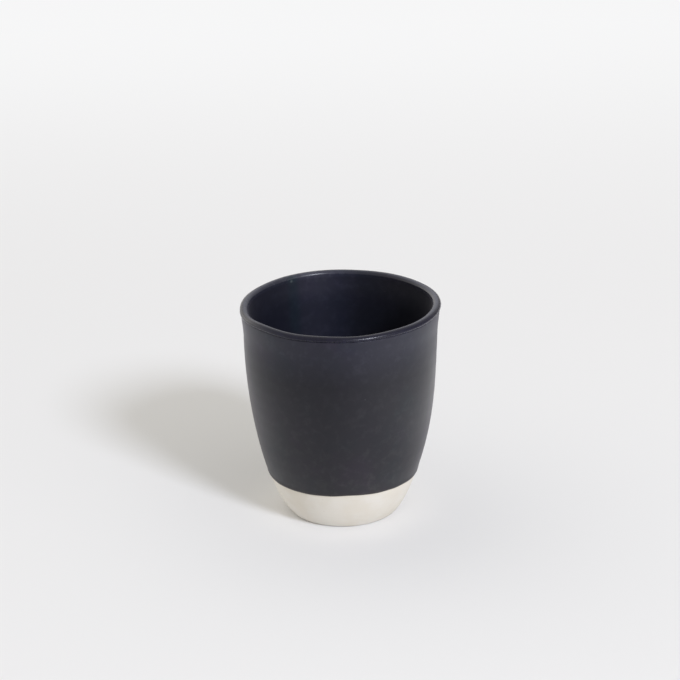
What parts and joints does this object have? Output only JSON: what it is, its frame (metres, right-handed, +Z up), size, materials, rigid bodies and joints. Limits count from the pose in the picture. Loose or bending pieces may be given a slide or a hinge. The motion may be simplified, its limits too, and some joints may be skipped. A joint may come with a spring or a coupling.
{
  "type": "cup",
  "caption": "Handleless stoneware mug with a rounded lip, a dark satin glaze inside and out, and a bare pale clay band above a turned foot.",
  "frame": {"origin": "middle of the foot, on the surface that the mug stands on", "axes": "+Z up along the mug's axis of turning; -Y is the side that faces the picture's camera, +X its right"},
  "size_m": [0.0853, 0.0846, 0.0943],
  "materials": {
    "bare_clay": "unglazed pale cream stoneware, dry and finely grained, with faint turning lines",
    "outer_glaze": "dark charcoal glaze with a blue cast, satin, a little brown where it thins at its lower edge",
    "liner_glaze": "dark charcoal glaze with a blue cast, satin, with a few fine specks"
  },
  "bodies": {
    "root": {"stoneware_body": "bare_clay", "outer_glaze": "outer_glaze", "liner_glaze": "liner_glaze"}
  },
  "joints": []
}
